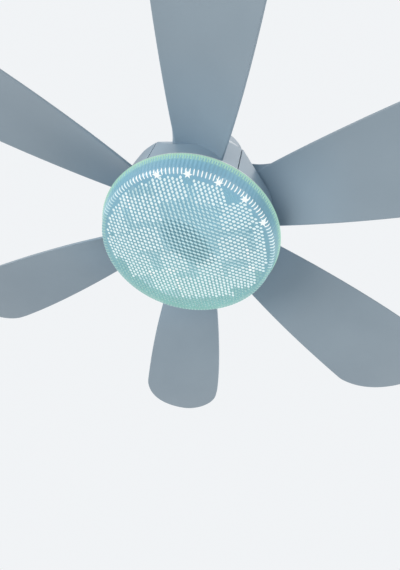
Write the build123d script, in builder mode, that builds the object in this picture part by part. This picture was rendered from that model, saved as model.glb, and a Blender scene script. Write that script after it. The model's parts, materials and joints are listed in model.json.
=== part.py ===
from build123d import *
import os
from math import asin, cos, degrees, radians, sin, tan

# Ceiling fan with a lamp, held by its own screw base. Millimetres, +Z up, and the origin is on the
# fan's axis at the shoulder that meets the lampholder's mouth, so nearly everything hangs below zero.

# Lamp
rim_r = 75.0  # lens at its back rim, the size that all the others were scaled from
lens_draft = 5.3  # how much smaller the front's radius is than the rim's
lens_depth = 16.6
lens_wall = 2.0
lens_corner_r = 2.6
lens_bead = 1.6  # height and depth of the lip that snaps behind the pan
lamp_drop = 150.0  # from the base's shoulder down to the lens's back rim
pan_t = 1.2
pan_margin = 0.4  # the pan's rim stands this far inside the lens's
pan_skirt = 5.0
pan_skirt_gap = 0.3
dish_r = 35.2
dish_rise = 8.4
dish_slope = 6.0  # radial run of the dish's sloping side
snap_reach = 0.7
snap_h = 1.0
snap_arc = 8.0
snap_count = 3
led_board_margin = 3.9  # from the board's edge to the pan's skirt
led_board_t = 1.6
led_side = 3.0
led_t = 0.8
led_edge = 4.5  # from the outer lights' middles to the board's edge
led_outer_count = 16
led_inner_ring_r = 38.0
led_inner_count = 8
led_turn = 20.0
led_screw_ring_r = 50.0
led_screw_count = 6
led_plug = (7.0, 9.0, 4.6)
led_plug_x = -21.0

# Shaft and what is clamped on it
shaft_r = 7.5
shaft_bore = 5.0
shaft_tail = 4.0  # the shaft ends this far above the back rim
shaft_head = 2.0  # and this far above the top nut
slip = 0.05  # radial clearance of what slides over the shaft
nut_across = 22.0
bottom_nut_h = 2.8
top_nut_h = 4.0
washer_r = 12.0
washer_t = 1.0
spacer_wall = 2.5
bottom_spacer_h = 6.4
top_spacer_h = 3.0
plate_margin = 0.6  # from the plate's edge to the housing's wall
plate_t = 2.0
plate_hole_r = 2.2

# Bearings
bearing_r = 14.0
bearing_w = 7.0
bearing_shoulder = 1.85  # how much each race is thick beside its groove
ball_r = 1.98
ball_count = 11
groove_clearance = 0.07
cage_wall = 1.4
cage_w = 5.0
pocket_clearance = 0.14
shield_t = 0.35
shield_inset = 0.25

# Motor
core_r = 38.0
core_h = 10.0
core_hub_r = 17.0
core_gap = 4.0  # from the core to each bearing
tooth_count = 12
tooth_w = 5.0
tooth_tip = 3.0
slot_mouth = 2.6
cap_t = 0.8
pad_t = 1.2
coil_r = (21.0, 33.0)
coil_side = 1.85
coil_gap = 0.35
air_gap = 0.6
magnet_t = 2.4
magnet_h = 14.0
magnet_count = 14
magnet_gap_deg = 2.0
iron_t = 2.5
iron_h = 19.0

# Rotor
pocket_wall = 3.0
pocket_lip = 0.8
pocket_mouth_r = 12.6
web_rise = 1.0  # the lower web starts this far above the bearing's foot
web_t = 2.5
flange_gap = 2.0  # from the flange to the blades' shoes
flange_t = 3.5
rotor_wall = 3.0
ring_rise = 5.5  # the ring ends this far above the core
cover_t = 2.5
boss_r = 3.0
rotor_screw_count = 6
rotor_screw_reach = 10.0  # how deep the screws go into the ring
screw_r = 1.5  # all the small screws
screw_play = 0.15
screw_head_r = 2.8
screw_head_h = 1.8

# Blades. Along a blade is u, across it is v, with the leading side at minus v.
blade_count = 6
first_blade = 274.8  # direction of the first blade's axis
root_inset = 10.5  # the panel starts this far inside the shoe's radius
outer_stations = (95.0, 142.5, 205.0, 290.0)
lead_v = (24.1, 33.3, 43.9, 54.8, 59.6)  # half widths at the root and the outer stations
trail_v = (14.2, 19.0, 23.3, 25.5, 26.3)
lead_rise = 14.1  # of the leading edge above the blades' seat, at the root
trail_rise = -6.6
lead_droop = 6.14  # degrees below level
trail_droop = 8.69
camber = 3.0
blade_root_t = 2.6
blade_tip_t = 1.8
tip_v = (-58.5, 25.8)  # leading and trailing sides of the panel before its tip
tip_start = 203.0  # the trailing side turns into the round tip from here
tip_r = 76.0
tip_lead_r = 27.0  # rounding from the tip into the leading side
panel_bite = 1.2  # how far the panel reaches past the inside of the shoe's wall

# Blade shoes, the sector at each root that covers the rotor
shoe_r = 70.5
shoe_wall = 2.5
shoe_edge_r = 1.5  # rounding of the wall's top edge
shoe_inner_round = 16.0  # rounding under it
facet_turn = 12.0  # degrees from square to the blade's axis, of the flat on the shoe's leading side
facet_lean = 17.7  # degrees that it leans in
gusset_t = 2.0  # the gusset that rises from the leading edge to the top of the flat
gusset_start = 2.5  # where it starts and ends on the edge, out from the panel's root
gusset_end = 20.0
gusset_reach = 13.9  # from the split to its top corner, along the flat
gusset_bite = 1.5
gusset_sag = 1.2  # hollow of its free edge
shoe_skirt = 11.5  # below the seat
shoe_inner_gap = 1.1  # from the rotor's bosses to the shoe's inner edge
shoe_split = 0.8  # between one shoe and the next
shoe_lead_deg = 36.8  # from the blade's axis to the split on its leading side
tongue_gap = 3.5  # from the rotor's bosses to the tongue
tongue_t = 5.5
blade_screw_deg = 13.0

# Upper housing
housing_gap = 2.0
housing_r = 54.0
housing_top_r = 32.0
housing_wall = 2.2
housing_mouth_r = 20.0
housing_boss_r = 4.5
housing_boss_inset = 4.8  # from the bosses' middles to the inside of the wall
housing_boss_h = 15.0
housing_screw_count = 4
vent_count = 20
vent_w = 2.4
vent_h = 12.0
vent_rise = 52.0

# Driver board in the housing
board_margin = 0.5  # from the board's edge to the housing's bosses
board_t = 1.6
board_hole_r = 8.0
standoff_r = 3.0
standoff_h = 10.0
standoff_ring_r = 34.0
standoff_count = 4
capacitor_r = 8.0
capacitor_h = 24.0
capacitor_at = (20.0, -17.0)
transformer_size = (24.0, 18.0, 17.0)
transformer_at = (-10.0, 21.0)
choke_r = 7.0
choke_h = 10.0
choke_at = (-22.0, -20.0)
heatsink_size = (18.0, 2.0, 20.0)
heatsink_at = (0.0, -30.0)
fin_count = 5
fin_t = 1.0
fin_depth = 5.0  # from the heatsink's middle plane
plug_size = (8.0, 6.0, 7.0)
plugs_at = ((25.0, 8.0), (-25.0, 3.0), (11.0, 15.0))  # mains, lamp, motor
chip_size = (6.0, 5.0, 1.4)
chips_at = ((16.0, 30.0), (28.0, -3.0), (-31.0, 13.0), (-2.0, -17.0), (-12.0, -31.0))
foot = 0.4  # solder height under a part of the board

# Neck and screw base
neck_h = 31.0
neck_r = 31.3
neck_wall = 2.2
neck_top_t = 2.8
neck_chamfer = 1.2
neck_boss_r = 4.2
neck_screw_reach = 8.0  # how deep the screws go into the bosses
neck_bore = 9.0
spigot_r = 11.4
spigot_drop = 4.2  # the spigot ends this far below the shell's mouth
neck_screw_ring_r = 25.5
neck_screw_count = 3
rebate_r = 13.5  # the shell's rim stands in a rebate of the neck
rebate_depth = 0.1
skirt_r = 13.3
skirt_h = 4.0
thread_r = 13.1
thread_pitch = 3.62
thread_depth = 1.1
thread_runout = 0.7  # from the thread's end to the shell's cone
thread_start = 5.6
groove_r = 1.57
shell_bore = 11.55
shell_h = 24.2
shell_cone = 2.7
shell_mouth_r = 7.6
shell_t = 0.6
insulator_rise = 1.6  # above the shell's mouth
insulator_play = 0.2
contact_r = 4.9
contact_h = 1.2
contact_stem_r = 1.4

# Leads
lead_r = 0.8
lead_pair = (2.3, 1.3)  # where the lamp's two leads run in the bore
lead_bend = 3.0
lead_floor = 2.2  # height above the pan's floor at which the lamp's leads turn
tight_bend = 1.8
motor_cable_r = 0.9
motor_cable_x = 2.6
motor_cable_drop = 2.2  # below the core
cross_hole_r = 1.25
loop_h = 15.0  # how far the leads arch above the board
mains_x = 5.0
mains_top = 16.0

# Levels, built up from the lens's back rim
z_rim = -lamp_drop
z_floor = z_rim + pan_t
z_dish = z_rim + dish_rise
z_spacer = z_dish + pan_t
z_low_race = z_spacer + bottom_spacer_h
z_core = z_low_race + bearing_w + core_gap
z_core_top = z_core + core_h
z_top_race = z_core_top + core_gap
z_top_spacer = z_top_race + bearing_w
z_plate = z_top_spacer + top_spacer_h
z_top_washer = z_plate + plate_t
z_top_nut = z_top_washer + washer_t
z_shaft_top = z_top_nut + top_nut_h + shaft_head
z_web = z_low_race + web_rise
z_seat = z_web + flange_t
z_ring_top = z_core_top + ring_rise
z_rotor_top = z_ring_top + cover_t
z_skirt = z_rotor_top + housing_gap
z_neck = -neck_h
z_board = z_top_washer + standoff_h
z_board_top = z_board + board_t
z_loop = z_board_top + loop_h

# Radii that follow from the ones above
seat_r = shaft_r + slip
spacer_r = shaft_r + spacer_wall
pan_r = rim_r - pan_margin
lens_front_r = rim_r - lens_draft
lens_bead_r = rim_r - lens_draft * pan_skirt / lens_depth - lens_wall
pan_skirt_r = lens_bead_r - pan_skirt_gap
led_board_r = pan_skirt_r - pan_t - led_board_margin
led_outer_ring_r = led_board_r - led_edge
magnet_in = core_r + air_gap
iron_in = magnet_in + magnet_t
rotor_in = iron_in + iron_t
rotor_r = rotor_in + rotor_wall
rotor_boss_ring_r = rotor_r
boss_reach = rotor_boss_ring_r + boss_r
shoe_in = shoe_r - shoe_wall
shoe_inner_r = boss_reach + shoe_inner_gap
tongue_r = boss_reach + tongue_gap
flange_r = shoe_in - flange_gap
blade_screw_ring_r = (tongue_r + flange_r) / 2
root_u = shoe_r - root_inset
stations = (root_u, *outer_stations)
screw_hole_r = screw_r + screw_play
pitch_r = (shaft_r + bearing_r) / 2
housing_in = housing_r - housing_wall
housing_boss_ring_r = housing_in - housing_boss_inset
plate_r = housing_in - plate_margin
board_r = housing_boss_ring_r - housing_boss_r - board_margin
shoe_share = 360 / blade_count  # degrees from one shoe to the next
thread_land_top = shell_h - shell_cone
thread_h = thread_land_top - thread_start - thread_runout
spigot_h = shell_h - spigot_drop
z_contact = shell_h + insulator_rise

os.makedirs("parts", exist_ok=True)
UP = (Align.CENTER, Align.CENTER, Align.MIN)
DOWN = (Align.CENTER, Align.CENTER, Align.MAX)


def save(part, name):
    part.label = name
    export_step(part, "parts/" + name + ".step")


def disc(z_low, z_high, radius, mode=Mode.ADD):
    """A round slab about the fan's axis."""
    with Locations((0, 0, z_low)):
        Cylinder(radius, z_high - z_low, align=UP, mode=mode)


def ring(z_low, z_high, radius, bore):
    """A round slab about the fan's axis with a hole through it."""
    disc(z_low, z_high, radius)
    disc(z_low, z_high, bore, mode=Mode.SUBTRACT)


def turned(*points, arc=360.0, mode=Mode.ADD):
    """Turns an outline of (radius, height) points about the fan's axis."""
    with BuildSketch(Plane.XZ) as outline:
        with BuildLine():
            Polyline(*points, close=True)
        make_face()
    revolve(outline.sketch, axis=Axis.Z, revolution_arc=arc, mode=mode)


def around(count, radius, z, turn=0.0):
    """Places spread evenly about the fan's axis at one height."""
    step = 360 / count
    return [
        (radius * cos(radians(turn + k * step)), radius * sin(radians(turn + k * step)), z)
        for k in range(count)
    ]


def screws(name, places, length, up=True):
    """Pan-head screws, one solid each. Their heads' seats are at the places, and they point up or down."""
    head, shank = (DOWN, UP) if up else (UP, DOWN)
    with BuildPart() as made:
        with Locations(*places):
            Cylinder(screw_head_r, screw_head_h, align=head)
            Cylinder(screw_r, length, align=shank)
    save(made.part, name)


def lead(*route, radius, bend):
    """A wire along straight runs with rounded corners."""
    start = Vector(*route[0])
    heading = Vector(*route[1]) - start
    with BuildLine() as path:
        FilletPolyline(*route, radius=bend)
    with BuildSketch(Plane(origin=start, z_dir=heading)) as section:
        Circle(radius)
    sweep(section.sketch, path=path.line)


# Lens: a clear cup that hangs from the pan's rim
def outer_lens_r(drop):
    """The lens's outer radius this far below its back rim."""
    return rim_r - (rim_r - lens_front_r) * drop / lens_depth


with BuildPart() as lens_cover:
    with BuildSketch(Plane.XZ) as outline:
        with BuildLine():
            Polyline(
                (0, z_rim - lens_depth),
                (lens_front_r, z_rim - lens_depth),
                (rim_r, z_rim),
                (lens_bead_r, z_rim),
                (lens_bead_r, z_rim - lens_bead),
                (outer_lens_r(lens_bead) - lens_wall, z_rim - lens_bead),
                (outer_lens_r(lens_depth - lens_wall) - lens_wall, z_rim - lens_depth + lens_wall),
                (0, z_rim - lens_depth + lens_wall),
                close=True,
            )
        make_face()
        front = outline.vertices().filter_by_position(Axis.X, lens_front_r - 0.1, lens_front_r + 0.1)
        fillet(front.sort_by(Axis.Y)[0], radius=lens_corner_r)
    revolve(axis=Axis.Z)
save(lens_cover.part, "lens_cover")

# Pan: the sheet-metal back of the lamp, with a raised centre that takes the shaft's nut
with BuildPart() as lamp_pan:
    turned(
        (seat_r, z_dish),
        (dish_r, z_dish),
        (dish_r + dish_slope, z_rim),
        (pan_skirt_r - pan_t, z_rim),
        (pan_skirt_r - pan_t, z_rim - pan_skirt),
        (pan_skirt_r, z_rim - pan_skirt),
        (pan_skirt_r, z_rim),
        (pan_r, z_rim),
        (pan_r, z_floor),
        (dish_r + dish_slope + pan_t / 2, z_floor),
        (dish_r + pan_t / 2, z_spacer),
        (seat_r, z_spacer),
    )
    z_snap = z_rim - lens_bead - pan_skirt_gap
    for start in range(snap_count):
        with BuildSketch(Plane.XZ.rotated((0, 0, start * 360 / snap_count))) as bump:
            with Locations((pan_skirt_r - pan_t / 2, z_snap - snap_h)):
                Rectangle(snap_reach + pan_t / 2, snap_h, align=(Align.MIN, Align.MIN))
        revolve(bump.sketch, axis=Axis.Z, revolution_arc=snap_arc)
    with Locations(*around(led_screw_count, led_screw_ring_r, z_rim)):
        Cylinder(screw_hole_r, pan_t, align=UP, mode=Mode.SUBTRACT)
save(lamp_pan.part, "lamp_pan")

# Lights: a board under the pan's floor, its chips in two rings, its screws and its plug
with BuildPart() as led_board:
    disc(z_rim - led_board_t, z_rim, led_board_r)
    with Locations(*around(led_screw_count, led_screw_ring_r, z_rim - led_board_t)):
        Cylinder(screw_hole_r, led_board_t, align=UP, mode=Mode.SUBTRACT)
save(led_board.part, "led_board")

with BuildPart() as led_chips:
    for chip_ring_r, chip_count in (
        (led_outer_ring_r, led_outer_count),
        (led_inner_ring_r, led_inner_count),
    ):
        with PolarLocations(chip_ring_r, chip_count, start_angle=led_turn):
            with Locations((0, 0, z_rim - led_board_t)):
                Box(led_side, led_side, led_t, align=DOWN)
save(led_chips.part, "led_chips")

screws(
    "led_board_screws",
    around(led_screw_count, led_screw_ring_r, z_rim - led_board_t),
    led_board_t + 2 * pan_t,
)

with BuildPart() as led_board_plug:
    with Locations((led_plug_x, 0, z_rim)):
        Box(*led_plug, align=UP)
save(led_board_plug.part, "led_board_plug")

# Shaft, and the nuts, washers and spacers clamped on it
cross_hole_z = z_core - motor_cable_drop
with BuildPart() as shaft:
    ring(z_rim + shaft_tail, z_shaft_top, shaft_r, shaft_bore)
    with Locations(Location((0, 0, cross_hole_z), (0, 90, 0))):
        Cylinder(cross_hole_r, 2 * shaft_r, align=UP, mode=Mode.SUBTRACT)
    chamfer(shaft.edges().filter_by(GeomType.CIRCLE).group_by(Axis.Z)[-1], length=0.6)
save(shaft.part, "shaft")

with BuildPart() as bottom_washer:
    ring(z_dish - washer_t, z_dish, washer_r, seat_r)
save(bottom_washer.part, "bottom_washer")

z_bottom_nut = z_dish - washer_t - bottom_nut_h
for nut_name, z_nut, nut_h in (
    ("bottom_nut", z_bottom_nut, bottom_nut_h),
    ("top_nut", z_top_nut, top_nut_h),
):
    with BuildPart() as nut:
        with BuildSketch(Plane.XY.offset(z_nut)):
            RegularPolygon(nut_across / 2, 6, major_radius=False)
            Circle(seat_r, mode=Mode.SUBTRACT)
        extrude(amount=nut_h)
    save(nut.part, nut_name)

with BuildPart() as bottom_spacer:
    ring(z_spacer, z_low_race, spacer_r, seat_r)
save(bottom_spacer.part, "bottom_spacer")

with BuildPart() as top_spacer:
    ring(z_top_spacer, z_plate, spacer_r, seat_r)
save(top_spacer.part, "top_spacer")

with BuildPart() as top_washer:
    ring(z_top_washer, z_top_nut, washer_r, seat_r)
save(top_washer.part, "top_washer")

housing_screw_places = around(housing_screw_count, housing_boss_ring_r, z_plate, turn=45)
standoff_places = around(standoff_count, standoff_ring_r, z_top_washer)
with BuildPart() as mounting_plate:
    ring(z_plate, z_top_washer, plate_r, seat_r)
    with Locations(*housing_screw_places):
        Cylinder(plate_hole_r, plate_t, align=UP, mode=Mode.SUBTRACT)
save(mounting_plate.part, "mounting_plate")


# Bearings: two grooved races, balls in a cage, and a thin shield on each side
def bearing(name, z_foot):
    z_mid = z_foot + bearing_w / 2
    z_head = z_foot + bearing_w
    groove_r = ball_r + groove_clearance
    with BuildPart() as inner:
        ring(z_foot, z_head, shaft_r + bearing_shoulder, shaft_r)
        with Locations((0, 0, z_mid)):
            Torus(pitch_r, groove_r, mode=Mode.SUBTRACT)
    save(inner.part, name + "_inner_race")
    with BuildPart() as outer:
        ring(z_foot, z_head, bearing_r, bearing_r - bearing_shoulder)
        with Locations((0, 0, z_mid)):
            Torus(pitch_r, groove_r, mode=Mode.SUBTRACT)
    save(outer.part, name + "_outer_race")
    with BuildPart() as balls:
        with Locations((0, 0, z_mid)):
            with PolarLocations(pitch_r, ball_count):
                Sphere(ball_r)
    save(balls.part, name + "_balls")
    with BuildPart() as cage:
        ring(z_mid - cage_w / 2, z_mid + cage_w / 2, pitch_r + cage_wall / 2, pitch_r - cage_wall / 2)
        with Locations((0, 0, z_mid)):
            with PolarLocations(pitch_r, ball_count):
                with Locations(Location((0, 0, 0), (0, 90, 0))):
                    Cylinder(ball_r + pocket_clearance, 2 * cage_wall, mode=Mode.SUBTRACT)
    save(cage.part, name + "_cage")
    shield_in = shaft_r + bearing_shoulder + slip + shield_inset
    with BuildPart() as shields:
        for z_shield in (z_foot, z_head - shield_t):
            ring(z_shield, z_shield + shield_t, bearing_r - bearing_shoulder, shield_in)
    save(shields.part, name + "_shields")


bearing("lower_bearing", z_low_race)
bearing("upper_bearing", z_top_race)

# Stator: a toothed core, an end cap on each side of it, and a coil round each tooth
tooth_step = 360 / tooth_count
with BuildPart() as stator_core:
    with BuildSketch(Plane.XY.offset(z_core)):
        Circle(core_r)
        Circle(core_r - tooth_tip, mode=Mode.SUBTRACT)
        with PolarLocations(core_r, tooth_count, start_angle=tooth_step / 2):
            Rectangle(4 * tooth_tip, slot_mouth, mode=Mode.SUBTRACT)
        Circle(core_hub_r)
        with PolarLocations(core_hub_r - 1, tooth_count):
            Rectangle(core_r - core_hub_r, tooth_w, align=(Align.MIN, Align.CENTER))
        Circle(shaft_r, mode=Mode.SUBTRACT)
    extrude(amount=core_h)
save(stator_core.part, "stator_core")

with BuildPart() as stator_end_caps:
    for z_cap, z_sleeve, z_pad in (
        (z_core - cap_t, z_core - core_gap, z_core - pad_t),
        (z_core_top, z_core_top, z_core_top),
    ):
        disc(z_cap, z_cap + cap_t, core_hub_r)
        disc(z_sleeve, z_sleeve + core_gap, spacer_r)
        with PolarLocations(core_hub_r - 1, tooth_count):
            with Locations((0, 0, z_pad)):
                Box(
                    core_r - tooth_tip - core_hub_r + 1,
                    tooth_w,
                    pad_t,
                    align=(Align.MIN, Align.CENTER, Align.MIN),
                )
    disc(z_core - core_gap, z_core_top + core_gap, seat_r, mode=Mode.SUBTRACT)
    with Locations(Location((0, 0, cross_hole_z), (0, 90, 0))):
        Cylinder(cross_hole_r, 2 * spacer_r, align=UP, mode=Mode.SUBTRACT)
save(stator_end_caps.part, "stator_end_caps")

coil_length = coil_r[1] - coil_r[0]
coil_hole = (tooth_w + 2 * coil_gap, core_h + 2 * pad_t + 2 * slip)
with BuildPart() as stator_coils:
    with Locations((0, 0, z_core + core_h / 2)):
        with PolarLocations(coil_r[0], tooth_count):
            with Locations(Location((0, 0, 0), (0, 90, 0))):
                Box(
                    coil_hole[1] + 2 * coil_side,
                    coil_hole[0] + 2 * coil_side,
                    coil_length,
                    align=UP,
                )
                Box(coil_hole[1], coil_hole[0], coil_length, align=UP, mode=Mode.SUBTRACT)
save(stator_coils.part, "stator_coils")

# Rotor: a lower cover with the ring wall and the blades' flange, and an upper cover
boss_places = around(rotor_screw_count, rotor_boss_ring_r, z_web, turn=360 / rotor_screw_count / 2)
rotor_screw_places = [(x, y, z_rotor_top) for x, y, _ in boss_places]
blade_screw_places = []
shoe_mid_deg = shoe_share / 2 - shoe_lead_deg
for k in range(blade_count):
    for side in (-1, 1):
        turn = first_blade + k * shoe_share + shoe_mid_deg + side * blade_screw_deg
        spot = (cos(radians(turn)), sin(radians(turn)))
        blade_screw_places.append((blade_screw_ring_r * spot[0], blade_screw_ring_r * spot[1], z_web))

with BuildPart() as rotor_lower_cover:
    disc(z_web, z_seat, flange_r)
    disc(z_web, z_ring_top, rotor_r)
    with Locations(*boss_places):
        Cylinder(boss_r, z_ring_top - z_web, align=UP)
    disc(z_web + web_t, z_ring_top, rotor_in, mode=Mode.SUBTRACT)
    disc(z_low_race - pocket_lip, z_low_race + bearing_w, bearing_r + pocket_wall)
    disc(z_low_race - pocket_lip, z_low_race, pocket_mouth_r, mode=Mode.SUBTRACT)
    disc(z_low_race, z_low_race + bearing_w, bearing_r, mode=Mode.SUBTRACT)
    with Locations(*rotor_screw_places):
        Cylinder(screw_hole_r, cover_t + rotor_screw_reach, align=DOWN, mode=Mode.SUBTRACT)
    with Locations(*blade_screw_places):
        Cylinder(screw_hole_r, flange_t, align=UP, mode=Mode.SUBTRACT)
save(rotor_lower_cover.part, "rotor_lower_cover")

with BuildPart() as rotor_upper_cover:
    disc(z_ring_top, z_rotor_top, rotor_r)
    with Locations(*rotor_screw_places):
        Cylinder(boss_r, cover_t, align=DOWN)
    z_pocket_top = z_top_race + bearing_w + pocket_lip
    disc(z_top_race, z_pocket_top, bearing_r + pocket_wall)
    disc(z_top_race, z_top_race + bearing_w, bearing_r, mode=Mode.SUBTRACT)
    disc(z_top_race + bearing_w, z_pocket_top, pocket_mouth_r, mode=Mode.SUBTRACT)
    with Locations(*rotor_screw_places):
        Cylinder(screw_hole_r, cover_t, align=DOWN, mode=Mode.SUBTRACT)
save(rotor_upper_cover.part, "rotor_upper_cover")

screws("rotor_screws", rotor_screw_places, cover_t + rotor_screw_reach - 1, up=False)

with BuildPart() as rotor_back_iron:
    z_iron = z_core + core_h / 2 - iron_h / 2
    ring(z_iron, z_iron + iron_h, rotor_in, iron_in)
save(rotor_back_iron.part, "rotor_back_iron")

magnet_arc = 360 / magnet_count - magnet_gap_deg
z_magnet = z_core + core_h / 2 - magnet_h / 2
with BuildPart() as rotor_magnets:
    for k in range(magnet_count):
        with BuildSketch(Plane.XZ.rotated((0, 0, k * 360 / magnet_count))) as section:
            with Locations((magnet_in, z_magnet)):
                Rectangle(magnet_t, magnet_h, align=(Align.MIN, Align.MIN))
        revolve(section.sketch, axis=Axis.Z, revolution_arc=magnet_arc)
save(rotor_magnets.part, "rotor_magnets")


# Blades: a shoe that covers a sector of the rotor, and a long panel that flares out of it
def blade_section(u, lead_edge, trail_edge, thickness):
    """The panel across one station: arched over its width, with half-round edges."""
    z_lead = z_seat + lead_rise - (u - root_u) * tan(radians(lead_droop))
    z_trail = z_seat + trail_rise - (u - root_u) * tan(radians(trail_droop))
    z_mid = (z_lead + z_trail) / 2 + camber
    half = thickness / 2
    v_lead, v_trail = half - lead_edge, trail_edge - half
    v_mid = (v_lead + v_trail) / 2
    with BuildSketch(Plane.YZ.offset(u)) as section:
        with BuildLine():
            ThreePointArc((v_lead, z_lead + half), (v_mid, z_mid + half), (v_trail, z_trail + half))
            ThreePointArc((v_trail, z_trail + half), (trail_edge, z_trail), (v_trail, z_trail - half))
            ThreePointArc((v_trail, z_trail - half), (v_mid, z_mid - half), (v_lead, z_lead - half))
            ThreePointArc((v_lead, z_lead - half), (-lead_edge, z_lead), (v_lead, z_lead + half))
        make_face()
    return section.sketch.faces()[0]


tip_share = [(u - root_u) / (stations[-1] - root_u) for u in stations]
panel_faces = [
    blade_section(u, lead_edge, trail_edge, blade_root_t + share * (blade_tip_t - blade_root_t))
    for u, lead_edge, trail_edge, share in zip(stations, lead_v, trail_v, tip_share)
]
root_half = blade_root_t / 2


def lead_point(run_out):
    """The middle of the panel's leading edge near the root, this far out from it."""
    share = run_out / (stations[1] - root_u)
    v = lead_v[0] + share * (lead_v[1] - lead_v[0]) - root_half
    return Vector(root_u + run_out, -v, z_seat + lead_rise - run_out * tan(radians(lead_droop)))



z_shoe = z_seat - shoe_skirt
z_edge = z_rotor_top - shoe_edge_r
edge_in_r = shoe_r - shoe_edge_r
edge_mid = shoe_edge_r * cos(radians(45))
z_under = z_rotor_top - shoe_wall
under_r = shoe_in - shoe_inner_round
under_mid = shoe_inner_round * cos(radians(45))
split_deg = degrees(shoe_split / shoe_r)
facet_corner = Vector(
    shoe_r * cos(radians(shoe_lead_deg)),
    -shoe_r * sin(radians(shoe_lead_deg)),
    z_rotor_top,
)
facet_along = Vector(sin(radians(facet_turn)), cos(radians(facet_turn)), 0)
facet_out = Vector(
    cos(radians(facet_lean)) * cos(radians(facet_turn)),
    -cos(radians(facet_lean)) * sin(radians(facet_turn)),
    sin(radians(facet_lean)),
)
with BuildPart() as shoe:
    with BuildSketch(Plane.XZ.rotated((0, 0, split_deg / 2 - shoe_lead_deg))) as section:
        with BuildLine():
            Line((shoe_r, z_shoe), (shoe_r, z_edge))
            ThreePointArc(
                (shoe_r, z_edge),
                (edge_in_r + edge_mid, z_edge + edge_mid),
                (edge_in_r, z_rotor_top),
            )
            Line((edge_in_r, z_rotor_top), (shoe_inner_r, z_rotor_top))
            Line((shoe_inner_r, z_rotor_top), (shoe_inner_r, z_under))
            Line((shoe_inner_r, z_under), (under_r, z_under))
            ThreePointArc(
                (under_r, z_under),
                (under_r + under_mid, z_under - shoe_inner_round + under_mid),
                (shoe_in, z_under - shoe_inner_round),
            )
            Line((shoe_in, z_under - shoe_inner_round), (shoe_in, z_seat + tongue_t))
            Line((shoe_in, z_seat + tongue_t), (tongue_r, z_seat + tongue_t))
            Line((tongue_r, z_seat + tongue_t), (tongue_r, z_seat))
            Line((tongue_r, z_seat), (shoe_in, z_seat))
            Line((shoe_in, z_seat), (shoe_in, z_shoe))
            Line((shoe_in, z_shoe), (shoe_r, z_shoe))
        make_face()
    revolve(section.sketch, axis=Axis.Z, revolution_arc=shoe_share - split_deg)
    split(bisect_by=Plane(facet_corner, z_dir=facet_out), keep=Keep.BOTTOM)

gusset_foot = lead_point(gusset_start)
gusset_along = lead_point(gusset_end) - gusset_foot
gusset_top = facet_corner + facet_along * gusset_reach - facet_out * gusset_bite
gusset_plane = Plane(
    gusset_foot, x_dir=gusset_along, z_dir=gusset_along.cross(gusset_top - gusset_foot)
)
gusset_top_at = gusset_plane.to_local_coords(gusset_top)

tip_past = tip_v[1] - tip_v[0] - tip_r  # how far the tip's arc runs on past its foremost point
with BuildPart() as blade:
    loft(panel_faces)
    with BuildSketch(Plane.XY.offset(2 * z_rim)) as planform:
        with BuildLine():
            tip = CenterArc(
                (tip_start, tip_v[1] - tip_r),
                tip_r,
                start_angle=-degrees(asin(tip_past / tip_r)),
                arc_size=90 + degrees(asin(tip_past / tip_r)),
            )
            Polyline(tip @ 1, (0, tip_v[1]), (0, tip_v[0]), tip @ 0)
        make_face()
        fillet(planform.vertices().sort_by_distance(tip @ 0)[0], radius=tip_lead_r)
    extrude(planform.sketch, amount=-3 * z_rim, mode=Mode.INTERSECT)
    disc(2 * z_rim, 0, shoe_in - panel_bite, mode=Mode.SUBTRACT)
    add(shoe.part)
    with BuildSketch(gusset_plane) as section:
        with BuildLine():
            free_edge = SagittaArc(
                (gusset_along.length, 0), (gusset_top_at.X, gusset_top_at.Y), gusset_sag
            )
            Polyline(free_edge @ 1, (0, 0), free_edge @ 0)
        make_face()
    extrude(section.sketch, amount=gusset_t / 2, both=True)
    for side in (-1, 1):
        turn = radians(shoe_mid_deg + side * blade_screw_deg)
        with Locations((blade_screw_ring_r * cos(turn), blade_screw_ring_r * sin(turn), z_seat)):
            Cylinder(screw_hole_r, tongue_t, align=UP, mode=Mode.SUBTRACT)
for k in range(blade_count):
    save(blade.part.rotate(Axis.Z, first_blade + k * shoe_share), "blade_" + str(k + 1))

screws("blade_screws", blade_screw_places, flange_t + tongue_t - 1)

# Upper housing: a domed shell on the mounting plate, open at the top for the neck
with BuildPart() as upper_housing:
    with BuildSketch(Plane.XZ) as outline:
        with BuildLine():
            outside = EllipticalCenterArc(
                (housing_top_r, z_skirt),
                housing_r - housing_top_r,
                z_neck - z_skirt,
                arc_size=90,
            )
            Line(outside @ 1, (housing_mouth_r, z_neck))
            Line((housing_mouth_r, z_neck), (housing_mouth_r, z_neck - housing_wall))
            inside = EllipticalCenterArc(
                (housing_top_r, z_skirt),
                housing_in - housing_top_r,
                z_neck - z_skirt - housing_wall,
                arc_size=90,
            )
            Line((housing_mouth_r, z_neck - housing_wall), inside @ 1)
            Line(inside @ 0, outside @ 0)
        make_face()
    revolve(axis=Axis.Z)
    with Locations(*[(x, y, z_top_washer) for x, y, _ in housing_screw_places]):
        Cylinder(housing_boss_r, housing_boss_h, align=UP)
        Cylinder(screw_hole_r, housing_boss_h, align=UP, mode=Mode.SUBTRACT)
    with PolarLocations(housing_r, vent_count):
        with Locations((0, 0, z_skirt + vent_rise)):
            Box(housing_r - board_hole_r, vent_w, vent_h, mode=Mode.SUBTRACT)
    with Locations(*around(neck_screw_count, neck_screw_ring_r, z_neck - housing_wall)):
        Cylinder(screw_hole_r, housing_wall, align=UP, mode=Mode.SUBTRACT)
save(upper_housing.part, "upper_housing")

screws("housing_screws", housing_screw_places, plate_t + housing_boss_h - 3)
screws(
    "neck_screws",
    around(neck_screw_count, neck_screw_ring_r, z_neck - housing_wall),
    housing_wall + neck_screw_reach,
)

# Driver board on its standoffs, and what is soldered to it
with BuildPart() as board_standoffs:
    with Locations(*standoff_places):
        Cylinder(standoff_r, standoff_h, align=UP)
        Cylinder(screw_hole_r, standoff_h, align=UP, mode=Mode.SUBTRACT)
save(board_standoffs.part, "board_standoffs")

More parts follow.
